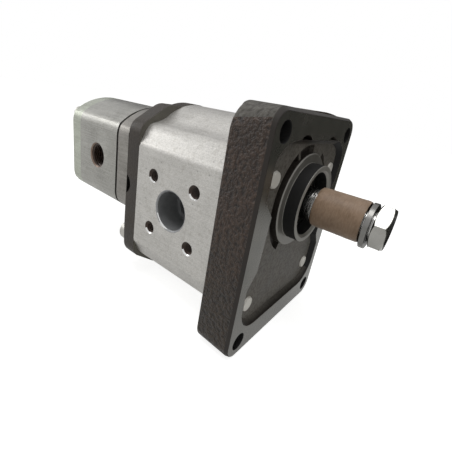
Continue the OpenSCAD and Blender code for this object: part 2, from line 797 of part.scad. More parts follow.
module intermediate_plate() {
    color("dimgray") difference() {
        along(plate_back, main_back) plate_outline();
        bar(plate_back - cut, main_back + cut, journal_r + 1);
        bar(main_back - cut - stage_seal_w - 2, main_back + cut, stage_seal_r);
        at_places(main_bolt_places) bar(plate_back - cut, main_back + cut, main_bolt_r + bolt_gap);
        at_places(main_bolt_up) bar(plate_back - cut, plate_back + low_head_seat, main_head_d / 2 + bolt_gap);
        at_places(rear_bolt_places) bar(plate_back - cut, plate_back + rear_thread_depth, rear_bolt_r + fit_gap);
        body_seal_groove(main_back - body_seal_t, main_back + cut, main_body_seal_r, main_c);
        dowel_holes(main_back, main_dowel_y, main_mid_z, dowel_r, dowel_len);
        dowel_holes(plate_back, rear_dowel_y, rear_mid_z, rear_dowel_r, rear_dowel_len);
        // Half-round pockets in both side faces, closed by a thin wall at the back
        for (s = [-1, 1]) intersection() {
            translate([plate_back - side_pocket_x, s * main_w / 2, main_mid_z + side_pocket_up]) rotate([90, 0, 0])
                cylinder(h = 2 * side_pocket_depth, r = side_pocket_r, center = true);
            translate([plate_back + side_pocket_wall, -main_w, -main_flat_h]) cube([plate_t, 2 * main_w, main_flat_h]);
        }
    }
}

module stage_seal() {
    face_t = 1.8;
    wall = 1.4;
    x0 = main_back - 2 - stage_seal_w;
    color("black") {
        ring(x0, x0 + stage_seal_w, stage_seal_r - fit_gap, stage_seal_r - wall);
        ring(x0, x0 + face_t, stage_seal_r - wall + eps, journal_r + 1);
        ring(x0, x0 + stage_seal_w - 2, journal_r + 2.4, journal_r + 1);
        ring(x0 + 2, x0 + 4, journal_r + 1 + eps, journal_r + lip_gap);
    }
}

module drive_coupling() {
    color("gray") difference() {
        bar(coupling_back, coupling_front, coupling_r);
        along(coupling_mid, coupling_front + cut) spline_sketch(main_spline_r, spline_gap);
        along(coupling_back - cut, coupling_mid + cut) spline_sketch(rear_spline_r, spline_gap);
    }
}

// What both covers and the body of the rear section have in common
module rear_bolt_holes(x0, x1) {
    at_places(rear_bolt_places) bar(x0, x1, rear_bolt_r + bolt_gap);
}

module coupling_housing() {
    color("lightgray") difference() {
        union() {
            along(housing_back + seam_w, plate_back) rear_outline();
            along(housing_back, housing_back + seam_w + eps) rear_outline(seam_depth);
        }
        bar(coupling_back - coupling_room, plate_back + cut, coupling_r + coupling_room);
        bar(housing_back - cut, coupling_back, rear_journal_r + 2);
        rear_bolt_holes(housing_back - cut, plate_back + cut);
        ring(plate_back - body_seal_t, plate_back + cut, housing_seal_r + body_seal_w + fit_gap, housing_seal_r - fit_gap);
        body_seal_groove(housing_back - cut, housing_back + body_seal_t, rear_body_seal_r, rear_c);
        dowel_holes(plate_back, rear_dowel_y, rear_mid_z, rear_dowel_r, rear_dowel_len);
        dowel_holes(housing_back, rear_dowel_y, rear_mid_z, rear_dowel_r, rear_dowel_len);
    }
}

module housing_seal() {
    color("black") ring(plate_back - body_seal_t + fit_gap, plate_back, housing_seal_r + body_seal_w, housing_seal_r);
}

module rear_body() {
    color("lightgray") difference() {
        along(rear_back, housing_back) rear_outline();
        along(rear_back - cut, housing_back + cut) pair(rear_bore_r, rear_c);
        port(rear_port_x, rear_mid_z, rear_inlet_d, rear_port_depth, rear_way_d, rear_w / 2, -1, rear_port_lead);
        port(rear_port_x, rear_mid_z, rear_outlet_d, rear_port_depth, rear_way_d, rear_w / 2, 1, rear_port_lead);
        rear_bolt_holes(rear_back - cut, housing_back + cut);
        dowel_holes(housing_back, rear_dowel_y, rear_mid_z, rear_dowel_r, rear_dowel_len);
        dowel_holes(rear_back, rear_dowel_y, rear_mid_z, rear_dowel_r, rear_dowel_len);
    }
}

module rear_end_cover() {
    color("darkseagreen") difference() {
        along(cover_back, rear_back) rear_outline();
        rear_bolt_holes(cover_back - cut, rear_back + cut);
        body_seal_groove(rear_back - body_seal_t, rear_back + cut, rear_body_seal_r, rear_c);
        dowel_holes(rear_back, rear_dowel_y, rear_mid_z, rear_dowel_r, rear_dowel_len);
    }
}

module rear_drive_gear() {
    color("silver") {
        along(rear_gear_back, rear_gear_front) gear_sketch(rear_module, rear_teeth, 180);
        bar(rear_back + side_gap, housing_back + 0.5, rear_journal_r);
        along(housing_back + 0.5 - eps, coupling_mid - spline_end_gap) spline_sketch(rear_spline_r, 0);
    }
}

module rear_driven_gear() {
    color("silver") translate([0, 0, -rear_c]) {
        along(rear_gear_back, rear_gear_front) gear_sketch(rear_module, rear_teeth, 180 / rear_teeth);
        bar(rear_back + side_gap, housing_back - side_gap, rear_journal_r);
    }
}

module rear_front_block() {
    color("tan") bearing_block(rear_gear_front + side_gap / 2, housing_back - side_gap / 2, 1, rear_tip_r, rear_c,
        rear_bush_r, rear_ring_seat);
}

module rear_rear_block() {
    color("tan") bearing_block(rear_gear_back - side_gap / 2, rear_back + side_gap / 2, -1, rear_tip_r, rear_c,
        rear_bush_r, rear_ring_seat);
}

module rear_bushes() {
    color("peru") bushes(rear_gear_front, housing_back, rear_gear_back, rear_back, rear_c, rear_bush_r,
        rear_journal_r + run_gap);
}

module rear_block_seals() {
    color("black") {
        block_ring(housing_back - balance_t, housing_back - side_gap, rear_ring_seat, rear_c);
        block_ring(rear_back + side_gap, rear_back + balance_t, rear_ring_seat, rear_c);
    }
}

module rear_backup_rings() {
    color("ivory") {
        block_ring(housing_back - balance_t - backup_t, housing_back - balance_t, rear_ring_seat, rear_c);
        block_ring(rear_back + balance_t, rear_back + balance_t + backup_t, rear_ring_seat, rear_c);
    }
}

module rear_body_seals() {
    color("black") {
        body_seal(housing_back, housing_back + body_seal_t - fit_gap, rear_body_seal_r, rear_c);
        body_seal(rear_back - body_seal_t + fit_gap, rear_back, rear_body_seal_r, rear_c);
    }
}

module rear_dowels() {
    color("gray") for (x = [plate_back, housing_back, rear_back])
        dowels(x, rear_dowel_y, rear_mid_z, rear_dowel_r, rear_dowel_len);
}

module rear_bolts() {
    color("silver") at_places(rear_bolt_places)
        socket_bolt(cover_back - rear_washer_t, plate_back + rear_thread_depth - 1, rear_bolt_r, rear_head_r,
            rear_head_h);
}

module rear_bolt_washers() {
    color("gray") at_places(rear_bolt_places)
        ring(cover_back - rear_washer_t, cover_back, rear_head_r + 0.6, rear_bolt_r + bolt_gap);
}

module shaft_key() {
    color("gray") intersection() {
        key_disc();
        translate([key_x, 0, 0]) cube([2 * key_disc_d, 2 * key_disc_d, 2 * (key_seat_r + key_rise)], center = true);
    }
}

module shaft_washer() {
    // It lies on the thread, so its middle is lower than the shaft's axis
    drop = washer_hole_r - thread_d / 2 - fit_gap;
    color("whitesmoke") difference() {
        ring(washer_x, washer_x + washer_t, washer_d / 2, washer_hole_r, 0, -drop);
        rotate([slit_turn, 0, 0]) translate([washer_x - cut, -washer_slit / 2, 0])
            cube([washer_t + 2 * cut, washer_slit, washer_d]);
    }
}

module shaft_nut() {
    corner_r = nut_af / 2 / cos(30);
    bevel = (corner_r - nut_af / 2) * 0.6;
    color("whitesmoke") difference() {
        intersection() {
            translate([nut_x, 0, 0]) rotate([nut_turn, 0, 0]) rotate([0, 90, 0]) cylinder(h = nut_t, r = corner_r, $fn = 6);
            union() {
                bar(nut_x + bevel, nut_x + nut_t - bevel, corner_r + eps);
                taper(nut_x + nut_t - bevel - eps, nut_x + nut_t, corner_r + eps, nut_af / 2 - 0.3);
                taper(nut_x, nut_x + bevel + eps, nut_af / 2 - 0.3, corner_r + eps);
            }
        }
        bar(nut_x - cut, nut_x + nut_t + cut, thread_d / 2 + fit_gap);
        taper(nut_x + nut_t - 1, nut_x + nut_t + eps, thread_d / 2 + fit_gap, thread_d / 2 + 1);
    }
}

module shaft_sleeve() {
    color("rosybrown") ring(sleeve_start, sleeve_end, sleeve_in_r + sleeve_wall, sleeve_in_r);
}

front_flange();
shaft_seal();
seal_retaining_ring();
main_body();
main_drive_shaft();
main_driven_gear();
main_front_block();
main_rear_block();
main_bushes();
main_block_seals();
main_backup_rings();
main_body_seals();
main_dowels();
main_bolts();
intermediate_plate();
stage_seal();
drive_coupling();
coupling_housing();
housing_seal();
rear_body();
rear_end_cover();
rear_drive_gear();
rear_driven_gear();
rear_front_block();
rear_rear_block();
rear_bushes();
rear_block_seals();
rear_backup_rings();
rear_body_seals();
rear_dowels();
rear_bolts();
rear_bolt_washers();
shaft_key();
shaft_washer();
shaft_nut();
shaft_sleeve();
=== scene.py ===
import math

import bmesh
import bpy
from mathutils import Matrix, Vector, noise


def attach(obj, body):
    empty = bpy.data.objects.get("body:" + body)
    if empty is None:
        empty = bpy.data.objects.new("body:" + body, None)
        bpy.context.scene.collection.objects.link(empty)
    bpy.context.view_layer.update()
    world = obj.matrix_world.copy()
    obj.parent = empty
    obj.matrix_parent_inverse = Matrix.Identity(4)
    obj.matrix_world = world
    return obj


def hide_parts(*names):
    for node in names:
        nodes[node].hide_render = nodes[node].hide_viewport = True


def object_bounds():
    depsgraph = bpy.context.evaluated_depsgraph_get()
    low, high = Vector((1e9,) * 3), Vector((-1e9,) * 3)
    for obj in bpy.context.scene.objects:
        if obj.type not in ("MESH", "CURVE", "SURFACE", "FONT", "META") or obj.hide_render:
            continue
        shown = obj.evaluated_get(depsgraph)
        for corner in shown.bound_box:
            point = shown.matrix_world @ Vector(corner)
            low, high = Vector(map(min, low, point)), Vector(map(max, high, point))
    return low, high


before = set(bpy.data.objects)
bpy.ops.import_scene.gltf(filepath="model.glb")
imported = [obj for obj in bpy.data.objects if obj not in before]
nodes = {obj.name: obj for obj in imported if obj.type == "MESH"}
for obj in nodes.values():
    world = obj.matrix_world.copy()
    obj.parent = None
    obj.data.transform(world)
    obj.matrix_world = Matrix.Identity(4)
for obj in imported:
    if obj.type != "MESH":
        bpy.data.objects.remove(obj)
cad_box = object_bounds()

# Mounting flange: one thick sand casting in grey iron. The mould leaves its sides and its recess lumpy, and
# the rim, the pilot and the seal bore are milled and turned. The tie bolts screw into it and end in its
# recess.
MM = 0.001
pilot_r = 25.4
pilot_h = 6.5
pilot_chamfer = 1.6
seal_bore_r = pilot_r - 2
base_ring_r = 31.4
ring_drop = 2
moat_w = 6
recess_depth = 4
recess_half_w = 56
recess_low_z = -90
recess_high_z = 50
deepest_x = -14
rim_half_w = 57
rim_low_z = -92
band_x = -2.4
flange_back_x = -26
register_x = -32
register_z = -22
mount_holes = [(sy * 49.2, z) for sy in (-1, 1) for z in (43.5, -84.7)]
mount_r = 6
notch_half_w = 31
notch_low_z = 38
notch_high_z = 48
seat_half_w = 52
rim_break = 0.35
ring_round = 1.1
back_round = 1.3
# Above this height the ring's edge is painted dark as shade, and the groove's upper right is left without
# painted shade
shade_z = -26
# Right of this and above this, the recess wall is near black: painted shade
black_wall_y = 35
black_wall_z = -70


def linear(colour):
    """An sRGB hex colour as the linear values that Blender's sockets take."""
    parts = [int(colour[i : i + 2], 16) / 255 for i in (1, 3, 5)]
    return tuple(p / 12.92 if p <= 0.04045 else ((p + 0.055) / 1.055) ** 2.4 for p in parts) + (1.0,)


def add(mat, kind, settings=None, inputs=None, stops=None):
    """Adds one shader node with its settings and links. Inputs are plain values, hex colours, or the node
    or socket that feeds them. Stops are the places and hex colours of the two ends of a colour ramp."""
    made = mat.node_tree.nodes.new("ShaderNode" + kind)
    for key, value in (settings or {}).items():
        setattr(made, key, value)
    for key, value in (inputs or {}).items():
        if isinstance(value, str):
            value = linear(value)
        if isinstance(value, bpy.types.Node):
            value = value.outputs[0]
        if isinstance(value, bpy.types.NodeSocket):
            mat.node_tree.links.new(value, made.inputs[key])
        else:
            made.inputs[key].default_value = value
    for i, (position, colour) in enumerate((stops or {}).items()):
        made.color_ramp.elements[i].position = position
        made.color_ramp.elements[i].color = linear(colour)
    return made


def new_material(name):
    """An empty material, and the socket that gives a point's place on the object in metres."""
    mat = bpy.data.materials.new(name)
    mat.use_nodes = True
    mat.node_tree.nodes.clear()
    return mat, add(mat, "TexCoord").outputs["Object"]


def finish_material(mat, shader):
    """Sends a shader to the material's output."""
    add(mat, "OutputMaterial", None, {"Surface": shader})
    return mat


def per(size_mm):
    """The scale of a pattern whose features have that real size."""
    return 1 / (size_mm * MM)


# A noise pattern's values lie mostly between these two
noise_low = 0.35
noise_high = 0.65
multiply = {"data_type": "RGBA", "blend_type": "MULTIPLY"}
multiply_add = {"operation": "MULTIPLY_ADD"}


def cast_iron(name, low, high, lump_mm, relief_mm, pit_shade, sheen, stain=None):
    """Sand-cast iron with a coat of oil: dark, lumpy as orange peel from the sand, with small glints on the
    lumps, and painted shade where the sand pattern is low. A stain is an axis, the two places in mm between
    which it fades out, and its colour; on the recess wall it is painted shade under the rim."""
    oil_cloud_mm = 16
    grit_mm = 0.35 * lump_mm
    mat, place = new_material(name)
    cloud = add(mat, "TexNoise", None,
                {"Vector": place, "Scale": per(oil_cloud_mm), "Detail": 3.0, "Roughness": 0.6})
    sand = add(mat, "TexNoise", None,
               {"Vector": place, "Scale": per(lump_mm), "Detail": 1.5, "Roughness": 0.45})
    grit = add(mat, "TexNoise", None, {"Vector": place, "Scale": per(grit_mm), "Detail": 1.0})
    skin = add(mat, "Math", multiply_add, {0: grit, 1: 0.3, 2: sand})
    bump = add(mat, "Bump", None, {"Strength": 1.0, "Distance": relief_mm * MM, "Height": skin})
    base = add(mat, "ValToRGB", None, {"Fac": cloud}, {noise_low: low, noise_high: high})
    # Darker where the sand pattern, and so the bump, is low: painted shade in the pits
    pits = add(mat, "ValToRGB", None, {"Fac": sand}, {0.30: pit_shade, 0.62: "#ffffff"})
    tone = add(mat, "Mix", multiply, {"Factor": 1.0, 6: base, 7: pits}).outputs[2]
    if stain:
        axis, fade_from, fade_to, colour = stain
        along_axis = add(mat, "SeparateXYZ", None, {"Vector": place}).outputs[axis]
        fade = add(mat, "MapRange", None,
                   {"Value": along_axis, "From Min": fade_from * MM, "From Max": fade_to * MM})
        fade_tone = add(mat, "ValToRGB", None, {"Fac": fade}, {0.0: colour, 1.0: "#ffffff"})
        tone = add(mat, "Mix", multiply, {"Factor": 1.0, 6: tone, 7: fade_tone}).outputs[2]
    gloss = add(mat, "MapRange", None, {"Value": cloud.outputs["Fac"], "From Min": 0.3, "From Max": 0.7,
                                        "To Min": sheen[0], "To Max": sheen[1]})
    shader = add(mat, "BsdfPrincipled", None,
                 {"Base Color": tone, "Roughness": gloss, "Normal": bump, "Specular IOR Level": 0.3})
    return finish_material(mat, shader)


def milled_iron(name, low, high, roughness, metallic=0.8):
    """Face-milled iron, oiled: smooth and half mirror, faintly clouded, with the cutter's shallow marks.
    The cutter's real marks are too fine to show here, so they are drawn 9 mm apart."""
    cloud_mm = 12
    mark_mm = 9
    mat, place = new_material(name)
    cloud = add(mat, "TexNoise", None, {"Vector": place, "Scale": per(cloud_mm), "Detail": 4.0})
    arcs = add(mat, "TexWave", {"wave_type": "RINGS", "rings_direction": "X"},
               {"Vector": place, "Scale": per(mark_mm), "Distortion": 0.6, "Detail": 1.0})
    bump = add(mat, "Bump", None, {"Strength": 0.10, "Distance": 0.04 * MM, "Height": arcs.outputs["Fac"]})
    rough = add(mat, "MapRange", None,
                {"Value": cloud.outputs["Fac"], "To Min": roughness - 0.05, "To Max": roughness + 0.08})
    tone = add(mat, "ValToRGB", None, {"Fac": cloud}, {noise_low: low, noise_high: high})
    shader = add(mat, "BsdfPrincipled", None,
                 {"Base Color": tone, "Roughness": rough, "Normal": bump, "Metallic": metallic})
    return finish_material(mat, shader)


def copy_of(node, keep=None):
    """A fresh mesh of a CAD node with its flat faces joined, but for those whose points all pass
    keep(point)."""
    bm = bmesh.new()
    bm.from_mesh(nodes[node].data)
    bmesh.ops.remove_doubles(bm, verts=bm.verts, dist=0.002 * MM)
    kept = {v for v in bm.verts if keep and keep(v)}
    bmesh.ops.dissolve_limit(bm, angle_limit=math.radians(0.5), verts=[v for v in bm.verts if v not in kept],
                             edges=[e for e in bm.edges if not kept.issuperset(e.verts)], delimit={"NORMAL"})
    return bm


def round_edges(bm, width_mm, wanted=None, sharp=32, segments=2):
    """Breaks the sharp edges of a mesh, all of them or those that wanted(edge) picks."""
    edges = [e for e in bm.edges if len(e.link_faces) == 2 and e.calc_face_angle(0) > math.radians(sharp)]
    if wanted:
        edges = [e for e in edges if wanted(e)]
    bmesh.ops.bevel(bm, geom=edges, offset=width_mm * MM, segments=segments, profile=0.5, affect="EDGES")


def middle(edge):
    """The middle of an edge, in mm."""
    return (edge.verts[0].co + edge.verts[1].co) / 2 / MM


def along(edge, axis):
    """How far an edge lies along an axis, from 0 to 1."""
    line = edge.verts[1].co - edge.verts[0].co
    return abs(line[axis]) / max(line.length, 1e-9)


def off_axis(point, z=0):
    """How far a point lies from a line along X at that height."""
    return math.hypot(point.y, point.z - z)


def soften_shoulders(bm, from_x, to_x, mid_z):
    """Gives the body's outline, between two places along its length, the fillets and rounded corners of its
    die."""
    near = 0.1
    corner_r = 1.6
    corner_y = 36
    corner_up = 30
    # Points where each shoulder meets the crown: y and height above the body's middle, before and after
    for y, up, y_soft, up_soft in ((34, 55, 34.4, 54.7),
                                   (32.05, 55, 32.2, 55.65),
                                   (30.18, 56.71, 30.3, 56.8)):
        for v in bm.verts:
            at = v.co / MM
            if from_x - near < at.x < to_x + near and abs(abs(at.y) - y) < near \
                    and abs(abs(at.z - mid_z) - up) < near:
                v.co.y = math.copysign(y_soft * MM, at.y)
                v.co.z = (mid_z + math.copysign(up_soft, at.z - mid_z)) * MM

    def at_corner(edge):
        return from_x < middle(edge).x < to_x and along(edge, 0) > 0.99 \
            and abs(middle(edge).y) > corner_y and abs(middle(edge).z - mid_z) > corner_up

    round_edges(bm, corner_r, at_corner, 9, 3)


def paint(bm, finishes, finish_of):
    """Gives each face the slot of the finish that finish_of(face) picks."""
    for f in bm.faces:
        f.material_index = finishes.index(finish_of(f))


def as_piece(bm, name, materials, stands_for=(), body="housing", smooth=30):
    """The finished mesh as an object that rides on its body and stands for its CAD nodes."""
    mesh = bpy.data.meshes.new(name)
    for e in bm.edges:
        e.smooth = len(e.link_faces) == 2 and e.calc_face_angle(0) < math.radians(smooth)
    for f in bm.faces:
        f.smooth = True
    bm.to_mesh(mesh)
    bm.free()
    if "custom_normal" in mesh.attributes:
        mesh.attributes.remove(mesh.attributes["custom_normal"])
    for m in materials:
        mesh.materials.append(m)
    made = bpy.data.objects.new(name, mesh)
    bpy.context.scene.collection.objects.link(made)
    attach(made, body)
    if stands_for:
        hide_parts(*stands_for)
    return made


def weld_normals(piece):
    """Shades a piece by its large faces, so that flat faces stay flat beside a rounded edge."""
    weight = piece.modifiers.new("faces first", "WEIGHTED_NORMAL")
    weight.keep_sharp = True


# Casting skin: brown black and bumpy, with small glints of oil, and greyer towards the bottom
flange_skin = cast_iron("sand-cast grey iron, oiled", "#392c23", "#4b3b31", 2.3, 2.0, "#80766f",
                        (0.28, 0.44), (2, -70, 0, "#c6cdbf"))
# Recess floor: the same casting with a finer skin, so an even dull grey
flange_floor = cast_iron("cast iron recess, oiled", "#5d5a54", "#6b6760", 1.6, 0.2, "#c4bfb9", (0.5, 0.62))
# Milled rim: smooth enough to mirror the room, so dark above and bright below
flange_milled = milled_iron("milled grey iron", "#56554f", "#63615b", 0.24, 0.5)
# Ground-off edge beside the rim: an almost black line, painted shade
flange_band = milled_iron("fettled iron edge, painted shade", "#1d1814", "#26201b", 0.6, 0.3)
# Turned pilot rim and base ring edge: the palest and barest iron
flange_turned = milled_iron("turned grey iron", "#85837d", "#918f89", 0.5, 0.35)
# Holes, pilot side, shaded recess wall and plate pockets: near black, painted shade
black_painted_shade = cast_iron("black painted shade", "#070707", "#0d0c0b", 1.0, 0.05, "#cfcac4", (0.6, 0.7))
# Ring groove and the ring's upper edge: very dark brown and dull, painted shade
groove_painted_shade = cast_iron("cast groove, painted shade", "#25211d", "#322d28", 1.4, 0.14, "#cfcac4",
                        (0.5, 0.6))
# Recess wall: grey, with painted shade just under the rim
recess_wall = cast_iron("cast recess wall, painted shade under the rim", "#4b4843", "#59564f", 1.6, 0.16, "#cfcac4",
                        (0.5, 0.62), (0, -0.8, -3.6, "#6b5f55"))
# Base ring's face: turned and then oiled, a middle grey
ring_face = milled_iron("turned base ring", "#6a6761", "#75726c", 0.4, 0.3)
# Flange's top: a calmer skin, and a lighter greyer tone than the sides, painted light
flange_top = cast_iron("cast iron, painted lighter on top", "#4d4a44", "#595650", 2.6, 0.7, "#98918a",
                       (0.3, 0.42))
flange_finishes = [flange_skin, flange_floor, flange_milled, flange_band, flange_turned, black_painted_shade,
                   groove_painted_shade, recess_wall, ring_face, flange_top]


def rim_edge(edge):
    """Edges of the milled rim, without those of the base ring and of the notches above it."""
    at = middle(edge)
    by_ring = base_ring_r - 0.3 < off_axis(at) < base_ring_r + moat_w
    by_notch = abs(at.y) < notch_half_w and notch_low_z < at.z < notch_high_z
    return at.x > band_x - 0.3 and along(edge, 0) < 0.9 and not by_ring and not by_notch


def base_ring_edge(edge):
    """The outer edge of the base ring's face."""
    return abs(middle(edge).x + ring_drop) < 0.1 and abs(off_axis(middle(edge)) - base_ring_r) < 0.2


def back_edge(edge):
    """Edges round the flange's back, outside the step that the body seats on."""
    return abs(middle(edge).x - flange_back_x) < 0.3 and abs(middle(edge).y) > seat_half_w


def flange_finish(face):
    """The finish of a face of the flange, told by its place and by the way it looks."""
    c = face.calc_center_median() / MM
    n = face.normal
    far = max(off_axis(v.co) for v in face.verts) / MM
    lowest = min(v.co.x for v in face.verts) / MM
    sideways = abs(n.x) < 0.3
    inward = n.y * c.y + n.z * c.z < 0
    upper_right = c.y > 0 and c.z > shade_z
    in_recess = abs(c.y) < recess_half_w and recess_low_z < c.z < recess_high_z
    outside_rim = abs(c.y) > rim_half_w or c.z > recess_high_z or c.z < rim_low_z
    in_mount_hole = any(math.hypot(c.y - y, c.z - z) < mount_r for y, z in mount_holes)
    # Pilot side and seal bore: near black, painted shade
    if far < pilot_r + 0.1 and sideways and (inward or c.x > -ring_drop):
        return black_painted_shade
    if far < seal_bore_r and c.x < pilot_h - pilot_chamfer:
        return black_painted_shade
    if abs(c.x + ring_drop) < 0.05 and n.x > 0.9 and far < base_ring_r + 0.2:
        return ring_face
    # The ring's upper edge: dark, painted shade
    if abs(far - base_ring_r) < 0.2 and sideways and c.z > shade_z:
        return groove_painted_shade
    if far < base_ring_r + 0.2:
        return flange_turned
    if lowest > -0.6 and n.x > 0.97:
        return flange_milled
    # Mount holes and the recess's deepest faces: near black, painted shade
    if in_mount_hole or in_recess and deepest_x < c.x < -recess_depth - 3.2:
        return black_painted_shade
    # The groove, but for its upper right: dark, painted shade
    if in_recess and deepest_x < c.x < -recess_depth - 0.5 and not upper_right:
        return groove_painted_shade
    # Edge strip outside the rim: near black, painted shade
    if c.x > band_x + 0.1 and outside_rim:
        return flange_band
    # Recess wall: painted shade under the rim, and near black painted shade on its right
    if c.x > -recess_depth + 0.1 and lowest > -recess_depth - 0.1 and abs(n.x) < 0.9:
        return black_painted_shade if c.y > black_wall_y and c.z > black_wall_z else recess_wall
    if in_recess and c.x > deepest_x - 2:
        return flange_floor
    # Faces that look up near the top: a lighter tone, painted light
    if n.z > 0.4 and c.z > 25:
        return flange_top
    return flange_skin


bm = copy_of("front_flange", lambda v: abs(v.co.x / MM + recess_depth) < 0.01)
round_edges(bm, rim_break, rim_edge, 20)
round_edges(bm, ring_round, base_ring_edge, 20, 4)
round_edges(bm, back_round, back_edge, 40, 3)
soften_shoulders(bm, register_x, flange_back_x, register_z)
paint(bm, flange_finishes, flange_finish)
flange = as_piece(bm, "mounting_flange", flange_finishes, ["front_flange"])
weld_normals(flange)

# Main body: a length of extruded aluminium, sawn and face-milled at its ends, with a fine matt skin along
# its sides. It sits between the flange and the intermediate plate on hollow dowels, and the four tie bolts
# run through it.
body_front_x = -32
body_back_x = -106
body_mid_z = -22
outline_reach = 48
gear_bore_r = 27
port_x = -69
port_face_y = 52.5
inlet_r = 13.5
inlet_half_square = 19.45
outlet_half_square = 14.15
screw_r = 4
screw_pitch = 1.25
screw_depth = 15
screw_reach = 33
countersink = 0.8
mouth_chamfer = 0.3
mouth_r = inlet_r + 1


def extruded_aluminium(name, low, high, streak_mm, roughness, pits, drawn_tone, relief_mm=0.05):
    """Matt extruded aluminium: pale grey, finely grained, with drawn streaks along its length and a few
    dents. Its real grain is about 0.1 mm and wouldn't show, so it is drawn at 0.7 mm."""
    cloud_mm = 18
    grain_mm = 0.7
    speck_mm = 2.6
    dent_mm = 7
    mat, place = new_material(name)
    cloud = add(mat, "TexNoise", None, {"Vector": place, "Scale": per(cloud_mm), "Detail": 4.0})
    grain = add(mat, "TexNoise", None,
                {"Vector": place, "Scale": per(grain_mm), "Detail": 3.0, "Roughness": 0.7})
    lengthwise = add(mat, "Mapping", None, {"Vector": place, "Scale": (0.03, 1, 1)})
    drawn = add(mat, "TexNoise", None, {"Vector": lengthwise, "Scale": per(streak_mm), "Detail": 4.0})
    specks = add(mat, "TexNoise", None,
                 {"Vector": place, "Scale": per(speck_mm), "Detail": 2.0, "Roughness": 0.7})
    dents = add(mat, "TexVoronoi", {"feature": "F1"},
                {"Vector": place, "Scale": per(dent_mm), "Randomness": 1.0})
    dent = add(mat, "MapRange", None,
               {"Value": dents.outputs["Distance"], "From Min": 0.04, "From Max": 0.11})
    tone = add(mat, "ValToRGB", None, {"Fac": cloud}, {noise_low: low, noise_high: high})
    for pattern, colour, start, end, share in ((grain, "#dedede", 0.38, 0.6, 1.0),
                                               (drawn, drawn_tone, 0.4, 0.6, 1.0),
                                               (specks, "#efeeec", 0.3, 0.5, 1.0),
                                               (dent, "#8e8e8c", 0.0, 1.0, pits)):
        hollows = add(mat, "ValToRGB", None, {"Fac": pattern}, {start: colour, end: "#ffffff"})
        tone = add(mat, "Mix", multiply, {"Factor": share, 6: tone, 7: hollows}).outputs[2]
    height = add(mat, "Math", multiply_add, {0: drawn, 1: 0.3, 2: grain})
    height = add(mat, "Math", multiply_add, {0: dent, 1: pits, 2: height})
    bump = add(mat, "Bump", None, {"Strength": 0.5, "Distance": relief_mm * MM, "Height": height})
    rough = add(mat, "MapRange", None,
                {"Value": grain.outputs["Fac"], "To Min": roughness - 0.08, "To Max": roughness + 0.1})
    shader = add(mat, "BsdfPrincipled", None,
                 {"Base Color": tone, "Roughness": rough, "Normal": bump, "Metallic": 0.9})
    return finish_material(mat, shader)


def machined_metal(name, low, high, roughness, ring_mm=0.5, metallic=1.0, groove_mm=0.02, cut=0.2):
    """Metal turned, bored or ground to size: a clean grey with fine lines round its axis and a clear sheen.
    Real turning lines lie about 0.1 mm apart, so they are drawn coarser, ring_mm apart."""
    cloud_mm = 8
    mat, place = new_material(name)
    cloud = add(mat, "TexNoise", None, {"Vector": place, "Scale": per(cloud_mm), "Detail": 3.0})
    round_axis = add(mat, "Mapping", None, {"Vector": place, "Scale": (1, 0.04, 0.04)})
    lines = add(mat, "TexNoise", None, {"Vector": round_axis, "Scale": per(ring_mm), "Detail": 2.0})
    bump = add(mat, "Bump", None, {"Strength": cut, "Distance": groove_mm * MM, "Height": lines})
    tone = add(mat, "ValToRGB", None, {"Fac": cloud}, {noise_low: low, noise_high: high})
    shader = add(mat, "BsdfPrincipled", None,
                 {"Base Color": tone, "Roughness": roughness, "Normal": bump, "Metallic": metallic})
    return finish_material(mat, shader)


def thread_ridge(bm, start, out, side, r_wall, r_crest, pitch, length, steps=28):
    """Adds the closed ridge of a thread cut in a hole: a helix that starts at start and runs along out, in
    a wall of radius r_wall. It fades in and out over half a turn."""
    root_r = r_wall * 1.004
    root_half = 0.46
    crest_half = 0.09
    up = out.cross(side)
    count = round(length / pitch * steps)
    rows = []
    for i in range(count + 1):
        a = 2 * math.pi * i / steps
        at = pitch * i / steps
        fade = min(1, i / steps * 2, (count - i) / steps * 2)
        crest = r_wall + (r_crest - r_wall) * fade
        away = side * math.cos(a) + up * math.sin(a)
        corners = [(root_r, -root_half), (crest, -crest_half), (crest, crest_half), (root_r, root_half)]
        rows.append([bm.verts.new((start + out * (at + w * pitch) + away * r) * MM) for r, w in corners])
    for a, b in zip(rows, rows[1:]):
        for k in range(4):
            bm.faces.new((a[k], a[(k + 1) % 4], b[(k + 1) % 4], b[k]))
    bm.faces.new(rows[0][::-1])
    bm.faces.new(rows[-1])


# Body skin: pale and matt, with one broad soft highlight along each corner
body_skin = extruded_aluminium("extruded aluminium, matt", "#c0beba", "#c9c7c3", 1.1, 0.47, 0.5, "#f6f6f6",
                               0.04)
# Bores: the same metal cut clean and then wetted with oil, so darker and cooler; on the inlet chamfer, but
# for its lower left, it is painted shade
bore_cut = machined_metal("bored aluminium, oil-darkened", "#868788", "#969798", 0.5, 0.5, 0.4)
# Screw threads: brown with old assembly paste, and darkened as painted shade in the holes and on the
# countersinks' upper halves
thread_paste_and_shade = machined_metal("tapped aluminium, brown paste and painted shade", "#2e221b", "#40322a", 0.35, 0.5, 0.4)
# Countersinks: bare bright metal, given only to their lower halves and to the inlet chamfer's lower left,
# painted highlight
lit_chamfer = machined_metal("countersunk aluminium, painted highlight", "#c4c4c3", "#d0d0cf", 0.25)
body_finishes = [body_skin, bore_cut, thread_paste_and_shade, lit_chamfer]


def from_port(point):
    """How far a point lies from the main ports' axis."""
    return math.hypot(point.x - port_x, point.z - body_mid_z)


def on_port_face(edge):
    """Edges that lie in one of the two port faces."""
    return abs(abs(middle(edge).y) - port_face_y) < 0.05


